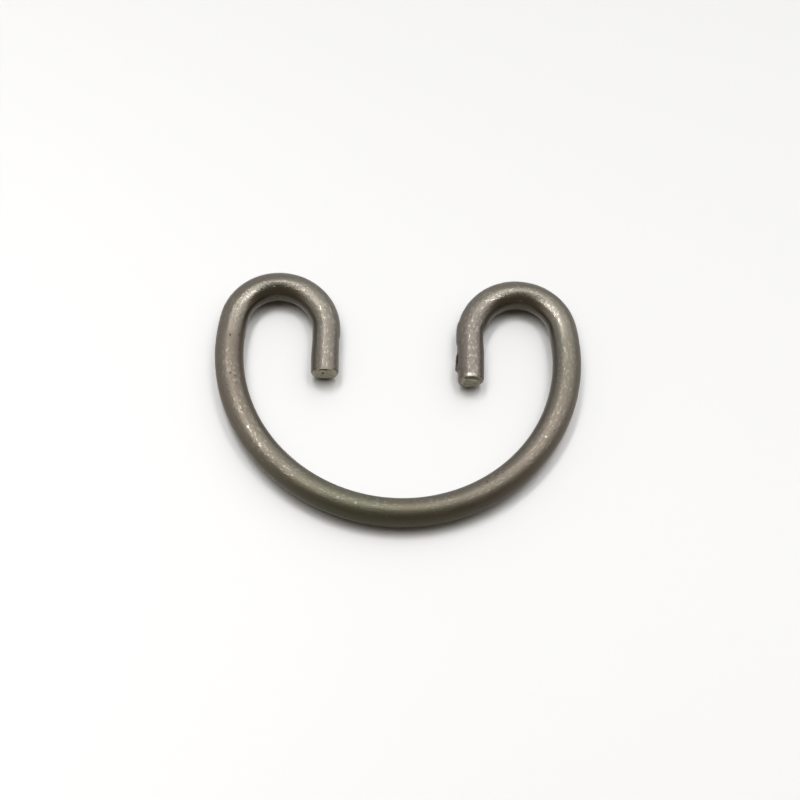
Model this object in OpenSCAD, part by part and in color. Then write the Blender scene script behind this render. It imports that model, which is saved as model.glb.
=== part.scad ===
/* [Wire] */
// Diameter of the round spring-steel wire
wire_d = 1.2; // [0.8:0.05:1.6]

/* [Ring] */
// Outside diameter of the relaxed ring
ring_outer_d = 15.4; // [14.5:0.1:20]
// Angle that the ring runs on past its widest point, on each side, before the hook begins
ring_rise = 13; // [5:1:25]

/* [Hooks] */
// Radius of the wire's centreline round each hook
hook_r = 1.95; // [1.5:0.05:2.2]
// Length of the straight tang at the left end
left_tang = 2.1; // [0.8:0.1:2.6]
// Length of the straight tang at the right end
right_tang = 2.2; // [0.8:0.1:2.6]
// Edge break left round each cut end
end_break = 0.1; // [0.02:0.02:0.2]

/* [Hidden] */
$fn = 96;
wire_r = wire_d / 2;
ring_r = ring_outer_d / 2 - wire_r;
// The ring passes through its foot, on -Y, from the left hook to the right hook
ring_sweep = 180 + 2 * ring_rise;
// Each hook turns until its tang is parallel to the clip's middle line
hook_sweep = 180 - ring_rise;
// The hook is tangent to the ring, so its centre lies on the radius where the ring ends
hook_centre = (ring_r - hook_r) * [cos(ring_rise), sin(ring_rise)];
tang_start = hook_centre - [hook_r, 0];

// Moves its children by whole hundredths and then by the rest, so that meeting ends keep all their digits
module place(at) {
    hundredths = [for (c = at) round(100 * c) / 100];
    translate(hundredths)
        translate(at - hundredths)
            children();
}

// A bent stretch of wire about the Z axis, turned anticlockwise by sweep from the angle start
module bent_wire(bend_r, start, sweep) {
    rotate_extrude(angle = sweep, start = start)
        translate([bend_r, 0])
            circle(r = wire_r);
}

// A straight stretch of wire from the origin towards -Y, with its far end's edge broken
module tang(length) {
    shank = length - end_break;
    rotate([90, 0, 0]) {
        cylinder(r = wire_r, h = shank);
        translate([0, 0, shank])
            cylinder(r1 = wire_r, r2 = wire_r - end_break, h = end_break);
    }
}

// The right-hand hook and its tang
module hook(tang_length) {
    place(hook_centre)
        bent_wire(hook_r, ring_rise, hook_sweep);
    place(tang_start)
        tang(tang_length);
}

// One bent wire, about the ring's centre: the ring, with a hook at each end
module circlip() {
    color("dimgray") {
        bent_wire(ring_r, 180 - ring_rise, ring_sweep);
        hook(right_tang);
        mirror([1, 0, 0])
            hook(left_tang);
    }
}

circlip();
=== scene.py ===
import math

import bpy
import numpy as np
from mathutils import Matrix, Vector


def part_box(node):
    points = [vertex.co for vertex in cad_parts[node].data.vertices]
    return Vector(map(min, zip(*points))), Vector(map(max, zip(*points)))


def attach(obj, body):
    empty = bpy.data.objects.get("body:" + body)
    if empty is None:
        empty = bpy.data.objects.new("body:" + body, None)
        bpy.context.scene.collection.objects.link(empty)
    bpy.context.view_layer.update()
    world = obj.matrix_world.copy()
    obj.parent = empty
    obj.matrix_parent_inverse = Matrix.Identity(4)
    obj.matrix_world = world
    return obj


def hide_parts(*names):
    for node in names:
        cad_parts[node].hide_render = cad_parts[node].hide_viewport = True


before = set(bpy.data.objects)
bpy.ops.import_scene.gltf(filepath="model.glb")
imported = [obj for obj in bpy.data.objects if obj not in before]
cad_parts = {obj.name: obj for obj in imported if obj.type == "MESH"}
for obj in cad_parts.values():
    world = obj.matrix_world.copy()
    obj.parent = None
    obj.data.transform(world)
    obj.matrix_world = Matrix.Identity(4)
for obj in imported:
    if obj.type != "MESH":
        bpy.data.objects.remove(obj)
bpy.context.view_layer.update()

# The clip: one length of round spring-steel wire, drawn through a die to its thickness, sheared off at
# both ends and bent cold round pegs. It runs up the left tang, round the left hook, down and through the
# foot of the ring, up into the right hook and down the right tang. Sizes are in millimetres.
MM = 0.001
low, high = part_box("circlip")
wire_r = 0.6
ring_r = -low.y / MM - wire_r
ring_rise = math.radians(13)
hook_r = (high.y / MM - wire_r - ring_r * math.sin(ring_rise)) / (1 - math.sin(ring_rise))
hook_length = hook_r * (math.pi - ring_rise)
ring_length = ring_r * (math.pi + 2 * ring_rise)
left_tang = 2.1
right_tang = 2.2
end_round = 0.18

# Each stretch of the wire, from the left end on: its length, and how fast it turns to its left
stretches = [
    (left_tang, 0),
    (hook_length, 1 / hook_r),
    (ring_length, 1 / ring_r),
    (hook_length, 1 / hook_r),
    (right_tang, 0),
]
wire_length = sum(length for length, turn in stretches)

# The wire is shaped straight first: cross-sections stand closest over the rounded ends and the tool marks
tang_step = 0.02
hook_step = 0.06
ring_step = 0.12
edge_sections = 14
edge_steps = end_round * (1 - np.cos(np.linspace(0, math.pi / 2, edge_sections)))
left_hook_end = left_tang + hook_length
right_hook_start = wire_length - right_tang - hook_length
right_hook_end = wire_length - right_tang


def evenly(start, end, step):
    """Distances about a step apart, from start up to but not at the end."""
    return np.linspace(start, end, round((end - start) / step), endpoint=False)


along = np.concatenate([
    edge_steps[:-1],
    evenly(end_round, left_tang, tang_step),
    evenly(left_tang, left_hook_end, hook_step),
    evenly(left_hook_end, right_hook_start, ring_step),
    evenly(right_hook_start, right_hook_end, hook_step),
    evenly(right_hook_end, wire_length - end_round, tang_step),
    wire_length - edge_steps[::-1],
])[:, None]
corners_around = 120
around = np.linspace(0, 2 * math.pi, corners_around, endpoint=False)[None]


def stretch_of(s, start, end, soft):
    """One between start and end, falling off smoothly over the length soft at both."""
    rise = np.clip((s - start) / soft + 0.5, 0, 1)
    fall = np.clip((end - s) / soft + 0.5, 0, 1)
    return rise**2 * (3 - 2 * rise) * fall**2 * (3 - 2 * fall)


def side_of(angle, half_width):
    """One in the middle of a side of the wire, falling to nothing at half_width degrees from it."""
    away = np.abs((np.degrees(around) - angle + 180) % 360 - 180)
    return np.cos(np.clip(away / half_width, 0, 1) * math.pi / 2) ** 2


# Degrees around the wire: the side of each hook's gap, the top, the side of the clip's mouth, the bottom.
# A mark that starts past the end runs right through it.
gap_side = 0
top_side = 90
mouth_side = 180
under_side = 270
from_left = along
from_right = wire_length - along
from_end = np.minimum(from_left, from_right)
past_end = -1

# Left tang: pinched just below the hook, and flattened towards the mouth from there to the end
slanted = 0.06 * np.sin(2 * around + 1)
left_pinch = -0.03 * stretch_of(from_left, 1.2, 2.7, 1.0) * side_of(gap_side, 75)
left_flat = -0.03 * stretch_of(from_left, past_end, 1.68 + slanted, 0.18) * side_of(mouth_side, 60)
left_marks = left_pinch + left_flat

# Right tang: flattened on the side of the gap, deepest just below the hook, and bulged towards the mouth
right_flat = -0.062 * stretch_of(from_right, past_end, 2.5, 0.4) * side_of(gap_side, 70)
right_pinch = -0.035 * stretch_of(from_right, 1.6, 2.5, 0.6) * side_of(gap_side, 70)
right_bulge = 0.045 * stretch_of(from_right, 1.66 + slanted, 2.6, 0.2) * side_of(mouth_side, 60)
right_marks = right_flat + right_pinch + right_bulge

# Below the bulge a flake is torn up with a crack along it, and the end beyond it is chipped
ragged = 0.004 * (np.sin(23 * along) + np.sin(37 * along + 1))
flake = stretch_of(from_right, 0.5, 1.23, 0.05) * side_of(mouth_side, 28)
flake_height = 0.12 - 0.07 * from_right + ragged
crack = stretch_of(from_right, 0.66, 1.28, 0.4) * side_of(mouth_side - 12 + 100 * ragged, 10)
chip = -0.04 * stretch_of(from_right, past_end, 0.46, 0.08) * side_of(mouth_side, 75)
torn_marks = flake_height * flake - 0.05 * crack + chip

# The shear drew the right end's top down and pressed its bottom flat. It left the lower edges of both
# ends round, but their upper ones nearly sharp, and so the right end's lower corner towards the mouth.
drawn_down = -0.028 * np.clip(1 - from_right / 0.2, 0, 1) * side_of(top_side, 85)
pressed_flat = -0.1 * np.clip(1 - from_right / 0.4, 0, 1) * side_of(under_side + 18, 55)
sharp_top = np.clip(np.sin(around), 0, 1) ** 2
sharp_corner = stretch_of(from_right, past_end, 1, 1) * side_of(mouth_side + 35, 55)
edge = end_round * (1 - 0.75 * np.clip(sharp_top + sharp_corner, 0, 1))
rounding = np.clip(edge - from_end, 0, edge)
edge_marks = drawn_down + pressed_flat - edge + np.sqrt(edge**2 - rounding**2)

radius = wire_r + left_marks + right_marks + torn_marks + edge_marks
across = radius * np.cos(around)
upward = radius * np.sin(around)
shank = np.stack([along + 0 * radius, across, upward], -1)
# Painted shade: the crack, the flake's downward face and the wire's underside right at both ends are painted
# dark where shade falls
under_rim_shade = side_of(under_side, 75)
shank_shade = (
    0.9 * crack
    + flake * np.clip(from_right - 0.4, 0, 0.5)
    + under_rim_shade * stretch_of(from_end, past_end, 0.05, 0.04)
)
# The right end's lip is burnished, and painted pale besides as its highlight
lip_burnish_and_highlight = 0.75 * stretch_of(from_right, 0.03, 0.14, 0.08) * side_of(top_side + 8, 36)


def bell(x, middle, width, power=2):
    """One at the middle, falling to nothing around it; a higher power gives it a flatter top."""
    return np.exp(-(((x - middle) / width) ** power))


def past(x, start, soft):
    """Nought below start and one above it, with a soft change."""
    return 1 / (1 + np.exp((start - x) / soft))


# The sheared faces lie in rings from the rim to the middle: u is towards the hook's gap, v is upward
face_rings = 60
inward = np.linspace(1, 0.02, face_rings)[1:, None]
# The lower rim of each sheared face is painted dark as shade
face_rim_shade = under_rim_shade * np.clip(10 * inward - 8, 0, 1)

# Left face: a crease and a dent painted dark as their shade, the corner beside the crease is dull, and a
# patch is burnished
u = across[0] * inward
v = upward[0] * inward
crease = bell(v, 0.46, 0.045) * bell(u, 0.14, 0.22, 4)
crease_end = bell(v, 0.43, 0.05) * bell(u, -0.04, 0.05)
dent = bell(v, 0.11, 0.07) * bell(u, 0.09, 0.05)
dull_corner = past(v, 0.38, 0.03) * past(-u, 0.1, 0.04)
left_face = np.stack([0.04 * crease + 0.05 * dent, u, v], -1)
left_shade_and_dirt = crease + crease_end + dent + 0.35 * dull_corner + face_rim_shade
left_bare = 0.4 * bell(v, 0.33, 0.06) * bell(u, 0.2, 0.12)

# Right face: the lower part stands out as a shelf whose edge is painted pale as a highlight, under a crescent
# painted dark as shade
u = across[-1] * inward
v = upward[-1] * inward
slope = v + 0.2 * u
shelf = past(-slope, -0.28, 0.006) * past(-u, -0.45, 0.04) * (1 - inward**14)
crescent = bell(v + 0.35 * u**2, 0.46, 0.05) * bell(u, 0.05, 0.34, 4)
torn_corner = bell(v, -0.15, 0.2) * bell(u, -0.5, 0.1)
right_face = np.stack([wire_length + 0.085 * shelf, u, v], -1)
right_shade_and_dirt = 0.8 * crescent + 0.7 * torn_corner + face_rim_shade
shelf_edge_highlight = bell(slope, 0.27, 0.035) * bell(u, -0.05, 0.46, 6)

straight_wire = np.concatenate([left_face[::-1], shank, right_face])
shade_and_grime = np.concatenate([left_shade_and_dirt[::-1], shank_shade, right_shade_and_dirt])
burnish_and_highlight = np.concatenate([left_bare[::-1], lip_burnish_and_highlight, shelf_edge_highlight])

# The straight wire is bent. Places and headings in the clip's plane are complex numbers.
hook_centre = (ring_r - hook_r) * complex(math.cos(ring_rise), math.sin(ring_rise))
left_end = complex(hook_r - hook_centre.real, hook_centre.imag - left_tang)


def bend_wire(s):
    """Place and heading of the wire's middle line at each distance s along it."""
    place = left_end + 1j * np.minimum(s, 0)
    heading = np.full(s.shape, 1j)
    passed = 0
    for length, turn in stretches:
        travel = np.clip(s - passed, 0, length)
        turned = heading * np.exp(1j * turn * travel)
        place = place + ((turned - heading) / (1j * turn) if turn else heading * travel)
        heading = turned
        passed += length
    return place + heading * np.maximum(s - wire_length, 0), heading


place, heading = bend_wire(straight_wire[..., 0])
plan = place + straight_wire[..., 1] * 1j * heading
points = np.stack([plan.real, plan.imag, straight_wire[..., 2]], -1) * MM
corner = np.arange(shade_and_grime.size).reshape(shade_and_grime.shape)
next_corner = np.roll(corner, -1, 1)
quads = np.stack([corner[:-1], next_corner[:-1], next_corner[1:], corner[1:]], -1).reshape(-1, 4)
middles = [corner[0][::-1].tolist(), corner[-1].tolist()]

mesh = bpy.data.meshes.new("circlip_wire")
mesh.from_pydata(points.reshape(-1, 3).tolist(), [], quads.tolist() + middles)
mesh.shade_smooth()
for name, kind, field, values in (
    ("straight_wire", "FLOAT_VECTOR", "vector", straight_wire),
    ("shade_and_grime", "FLOAT", "value", shade_and_grime),
    ("burnish_and_highlight", "FLOAT", "value", burnish_and_highlight),
):
    mesh.attributes.new(name, kind, "POINT").data.foreach_set(field, values.astype(np.float32).ravel())
clip = bpy.data.objects.new("circlip_wire", mesh)
bpy.context.scene.collection.objects.link(clip)


class Value:
    """A node's output in a shader, with arithmetic that adds Math nodes beside it."""

    def __init__(self, socket):
        self.socket = socket
        self.tree = socket.id_data

    @classmethod
    def node(cls, tree, kind, settings=None, inputs=None, output=0):
        made = tree.nodes.new(kind)
        for name, setting in (settings or {}).items():
            setattr(made, name, setting)
        for name, given in (inputs or {}).items():
            if isinstance(given, Value):
                tree.links.new(given.socket, made.inputs[name])
            else:
                made.inputs[name].default_value = given
        return cls(made.outputs[output])

    def combine(self, operation, *values):
        return Value.node(self.tree, "ShaderNodeMath", {"operation": operation}, dict(enumerate(values)))

    def __abs__(self):
        return self.combine("ABSOLUTE", self)

    def __add__(self, other):
        return self.combine("ADD", self, other)

    def __sub__(self, other):
        return self.combine("SUBTRACT", self, other)

    def __rsub__(self, other):
        return self.combine("SUBTRACT", other, self)

    def __mul__(self, other):
        return self.combine("MULTIPLY", self, other)

    __radd__ = __add__
    __rmul__ = __mul__

    def rising(self, start, end):
        """Nought up to start, one from end on, smooth between."""
        return Value.node(
            self.tree,
            "ShaderNodeMapRange",
            {"interpolation_type": "SMOOTHSTEP"},
            {"Value": self, "From Min": start, "From Max": end},
        )

    def blend(self, below, above):
        """The colour below where this value is nought, and the colour above where it is one."""
        return Value.node(self.tree, "ShaderNodeMix", {"data_type": "RGBA"}, {0: self, 6: below, 7: above}, 2)


steel = bpy.data.materials.new("drawn_spring_steel")
steel.use_nodes = True
tree = steel.node_tree
wire = Value.node(tree, "ShaderNodeAttribute", {"attribute_name": "straight_wire"}, output="Vector")
distance = Value.node(tree, "ShaderNodeSeparateXYZ", {}, {0: wire}, "X")


def grain(size, stretch=1, detail=2, shift=0):
    """Noise with features of a size in mm, drawn out along the wire by stretch."""
    scale = (1 / stretch, 1, 1)
    drawn = Value.node(
        tree, "ShaderNodeVectorMath", {"operation": "MULTIPLY_ADD"}, {0: wire, 1: scale, 2: (shift, 0, 0)}
    )
    return Value.node(tree, "ShaderNodeTexNoise", {}, {"Vector": drawn, "Scale": 1 / size, "Detail": detail})


wandering = distance + (grain(1.8) - 0.5) * 4


def near(middle, reach):
    """One at a distance along the wire, falling to nothing within its reach, with a wandering border."""
    return abs(wandering - middle).rising(reach, 0.2 * reach)


def section_point(angle):
    """The direction of an angle around the wire, beside the wire's length."""
    return 0, math.cos(math.radians(angle)), math.sin(math.radians(angle))


def towards(angle):
    """How far, in mm, a point stands from the wire's middle towards an angle around it."""
    inputs = {0: wire, 1: section_point(angle)}
    return Value.node(tree, "ShaderNodeVectorMath", {"operation": "DOT_PRODUCT"}, inputs, "Value")


# The tone shifts along the wire: paler where hands and tools rubbed the hooks, warm limbs, an olive foot
limb_grey = (0.16, 0.146, 0.118, 1)
rubbed_grey = (0.186, 0.168, 0.139, 1)
pink_grey = (0.188, 0.164, 0.142, 1)
warm_grey = (0.177, 0.152, 0.123, 1)
brown_grey = (0.158, 0.142, 0.106, 1)
olive_grey = (0.147, 0.142, 0.103, 1)
left_limb = 10
foot = 20.5
handled = near(0, 11) + near(wire_length, 11)
tint = handled.blend(limb_grey, rubbed_grey)
tint = near(wire_length, 6).blend(tint, pink_grey)
tint = near(left_limb, 5.5).blend(tint, warm_grey)
tint = near(foot + 6.5, 4.5).blend(tint, warm_grey)
tint = near(foot, 5).blend(tint, brown_grey)
tint = near(foot - 2, 2.5).blend(tint, olive_grey)

# The bends over the pegs are polished along their crests, the tangs speckled, and the limbs and foot dull
hook_middle = left_tang + hook_length / 2
polished = near(hook_middle + 1.3, 2.8) * 0.9 + near(wire_length - hook_middle - 0.8, 3) * 0.6
speckled = near(2, 4.5) + near(wire_length - 2.5, 5.5)
dull = near(foot, 8) * 0.8 + near(left_limb, 4) + near(foot + 11, 4) * 0.7 + near(wire_length - 1.5, 4) * 0.8
# The crests are also painted paler, partly polish and partly a painted highlight along the crest line
crest_polish_and_highlight = towards(78).rising(0.56, 0.6) * polished

# The top and the bottom, on which the clip lies and is handled, have rubbed specks in drifts
face = abs(towards(top_side)).rising(0.3, 0.56)
drift = (grain(0.8, stretch=1.5) + handled * 0.1).rising(0.27, 0.6)
rubbed = grain(0.1, stretch=1.8, detail=1).rising(0.52, 0.66) * drift * face


def spots(places, width):
    """One on each of the round marks at these distances along the wire and degrees around it."""
    outline = (grain(0.07) - 0.5) * 0.08
    found = 0
    for s, angle in places:
        middle = Vector(section_point(angle)) * wire_r + Vector((s, 0, 0))
        inputs = {0: wire, 1: middle}
        away = Value.node(tree, "ShaderNodeVectorMath", {"operation": "DISTANCE"}, inputs, "Value")
        found = (away + outline).rising(0.5 * width, 0.3 * width) + found
    return found


# Single nicks that shine; black pits, some of them scattered; and a scratch that runs up from the flake
hook_nicks = [(2.86, 75), (5.2, 10), (5.99, 22), (35.77, 40)]
ring_nicks = [(13.24, 104), (18.11, 100), (18.85, 99), (27.83, 97)]
hook_pits = [(3.68, 68), (5.5, 69), (39.44, 51)]
limb_pits = [(8.82, 52), (8.93, 90), (9.5, 46), (10.7, 93)]
scratch = [(40.2, 147), (40.27, 134), (40.37, 117), (40.35, 108), (40.47, 102)]
nick_width = 0.13
pit_width = 0.09
nicks = spots(hook_nicks + ring_nicks, nick_width)
scattered = grain(0.1, detail=1, shift=7).rising(0.7, 0.76) * grain(1.2, shift=3).rising(0.42, 0.6)
pits = scattered + spots(hook_pits + limb_pits, pit_width) * 0.7 + spots(scratch, pit_width) * 0.5

# The sheared faces are paler and rougher, the right one browner, the left one paler as painted light.
# Painted shade darkens their creases, the crack and the lower rims; a patch on the left face is burnished,
# and the right lip and shelf edge are painted pale as highlights.
cut_grey = (0.66, 0.625, 0.5, 1)
cut_brown = (0.36, 0.335, 0.265, 1)
half_length = wire_length / 2
cut = abs(distance - half_length).rising(half_length - 0.05, half_length - 0.01)
# The faces shift from paler at the left end to browner at the right; the left one's paleness is painted
# light, standing for a face tilted up to the lamps
browning_and_left_light = grain(0.14, shift=4).rising(0.3, 0.7) * 0.5 + distance * (0.4 / wire_length)
sheared = browning_and_left_light.blend(cut_grey, cut_brown)
shade_and_dirt = Value.node(tree, "ShaderNodeAttribute", {"attribute_name": "shade_and_grime"}, output="Fac")
shade_and_dirt = shade_and_dirt * (0.6 + grain(0.08, shift=6).rising(0.35, 0.55) * 0.4)
burnish_and_highlight_mask = Value.node(tree, "ShaderNodeAttribute", {"attribute_name": "burnish_and_highlight"}, output="Fac")

rubbed_steel_and_highlight = (0.3, 0.29, 0.254, 1)
burnished_steel_and_highlight = (0.5, 0.48, 0.43, 1)
pit_and_shade_black = (0.04, 0.036, 0.03, 1)
wear_and_crest_highlight = rubbed * (0.35 + speckled * 0.2) + crest_polish_and_highlight * 0.45 + nicks
colour = wear_and_crest_highlight.blend(tint, rubbed_steel_and_highlight)
colour = (pits * 0.7).blend(colour, pit_and_shade_black)
colour = (cut * grain(0.1, detail=3).rising(0.1, 0.6)).blend(colour, sheared)
# Painted highlights on the right lip and shelf edge, and a burnished patch on the left face, in pale steel
colour = burnish_and_highlight_mask.blend(colour, burnished_steel_and_highlight)
# Painted shade, with some dirt, blended towards black
colour = (shade_and_dirt * 0.9).blend(colour, pit_and_shade_black)

plain_roughness = 0.42
smoother = polished * 0.18 + rubbed * 0.12 + nicks * 0.15 + burnish_and_highlight_mask * 0.15
rougher = dull * 0.07 + pits * 0.2 + cut * 0.12 + shade_and_dirt * 0.2
roughness = plain_roughness + (grain(0.3, stretch=3) - 0.5) * 0.14 - smoother + rougher

speckles = grain(0.1, stretch=1.6, detail=1.5) * (0.3 + speckled * 0.6) * (0.3 + face * 0.7)
drawing_streaks = grain(0.06, stretch=10, shift=5) * 0.3
waves = grain(0.7, stretch=2, detail=1, shift=11)
shear_marks = grain(0.12, shift=9) * cut * 3
height = speckles + drawing_streaks + waves + shear_marks + rubbed * 0.18 - pits
relief_depth = 0.012 * MM
relief = Value.node(tree, "ShaderNodeBump", {}, {"Height": height, "Distance": relief_depth, "Strength": 1})

shader = tree.nodes["Principled BSDF"]
tree.links.new(colour.socket, shader.inputs["Base Color"])
tree.links.new(roughness.socket, shader.inputs["Roughness"])
tree.links.new(relief.socket, shader.inputs["Normal"])
shader.inputs["Metallic"].default_value = 1
mesh.materials.append(steel)
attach(clip, "root")
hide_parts("circlip")

# The floor: a plain sheet of white pearl card with a satin face. It lies flat on the bench, and the clip
# lies on it.
card_half = 1.0
card_height = -wire_r * MM
card_corners = [
    (-card_half, -card_half, card_height),
    (card_half, -card_half, card_height),
    (card_half, card_half, card_height),
    (-card_half, card_half, card_height),
]
card_mesh = bpy.data.meshes.new("white_card")
card_mesh.from_pydata(card_corners, [], [(0, 1, 2, 3)])
card = bpy.data.objects.new("white_card", card_mesh)
bpy.context.scene.collection.objects.link(card)
pearl = bpy.data.materials.new("white_pearl")
pearl.use_nodes = True
pearl_shader = pearl.node_tree.nodes["Principled BSDF"]
pearl_shader.inputs["Base Color"].default_value = (0.61, 0.61, 0.61, 1)
pearl_shader.inputs["Roughness"].default_value = 0.5
pearl_shader.inputs["Metallic"].default_value = 0.65
card_mesh.materials.append(pearl)

# The lights: two long cloth softboxes end to end overhead, the left one brighter, and a broad one behind
# on the right, before a pale wall on the left and behind. The room in front is dark and warm.
lamp_height = 0.5


def softbox(name, side, width, depth, brightness):
    """A cloth lamp, width by depth, that faces the clip from a side; its brightness is that of the cloth."""
    lamp = bpy.data.lights.new(name, "AREA")
    lamp.shape = "RECTANGLE"
    lamp.size = width
    lamp.size_y = depth
    lamp.energy = brightness * math.pi * width * depth
    stand = bpy.data.objects.new(name, lamp)
    stand.location = Vector(side) * lamp_height
    stand.rotation_euler = stand.location.to_track_quat("Z", "Y").to_euler()
    stand.visible_camera = False
    bpy.context.scene.collection.objects.link(stand)


softbox("left_softbox", side=(-0.36, 0.2, 1), width=0.44, depth=0.09, brightness=9.8)
softbox("right_softbox", side=(0.32, 0.2, 1), width=0.34, depth=0.09, brightness=5.2)
softbox("back_softbox", side=(0.85, 0.55, 0.9), width=0.8, depth=0.6, brightness=1.1)

world = bpy.data.worlds.new("room")
world.use_nodes = True
bpy.context.scene.world = world
room = world.node_tree
looking = Value.node(room, "ShaderNodeTexCoord", output="Generated")


def wall(side, dark_at, bright_at):
    """Nought where a direction's share along side is dark_at, and one where it is bright_at."""
    inputs = {0: looking, 1: side}
    share = Value.node(room, "ShaderNodeVectorMath", {"operation": "DOT_PRODUCT"}, inputs, "Value")
    return share.rising(dark_at, bright_at)


dark_front = 0.145
warm_light = (1.15, 1, 0.75, 1)
white_light = (1, 1, 1, 1)
back_walls = wall((0.05, -0.84, 0.53), 0.65, 0.25)
left_wall = wall((-0.78, 0.6, 0.17), 0.15, 0.5)
room_brightness = dark_front + back_walls * 0.31 + left_wall * 0.4
room_colour = back_walls.blend(warm_light, white_light)
room.links.new(room_brightness.socket, room.nodes["Background"].inputs["Strength"])
room.links.new(room_colour.socket, room.nodes["Background"].inputs["Color"])

# The camera: a long lens in front of the ring's foot and high above it, looking steeply down at the clip
# and held slightly turned.
camera_aim = Vector((0.089, -1.990, 0)) * MM
camera_distance = 130 * MM
camera_elevation = math.radians(64.59)
camera_azimuth = math.radians(-6.07)
camera_roll = math.radians(7.49)
level = math.cos(camera_elevation)
back_x = math.sin(camera_azimuth) * level
back_y = -math.cos(camera_azimuth) * level
back = Vector((back_x, back_y, math.sin(camera_elevation)))
camera = bpy.data.objects.new("camera", bpy.data.cameras.new("camera"))
camera.data.sensor_width = 36
camera.data.lens = 140.2
camera.data.clip_start = camera_distance / 100
camera.data.clip_end = camera_distance * 100
camera.matrix_world = (
    Matrix.Translation(camera_aim + back * camera_distance)
    @ (-back).to_track_quat("-Z", "Y").to_matrix().to_4x4()
    @ Matrix.Rotation(camera_roll, 4, "Z")
)
bpy.context.scene.collection.objects.link(camera)
bpy.context.scene.camera = camera
bpy.context.scene.view_settings.view_transform = "Standard"
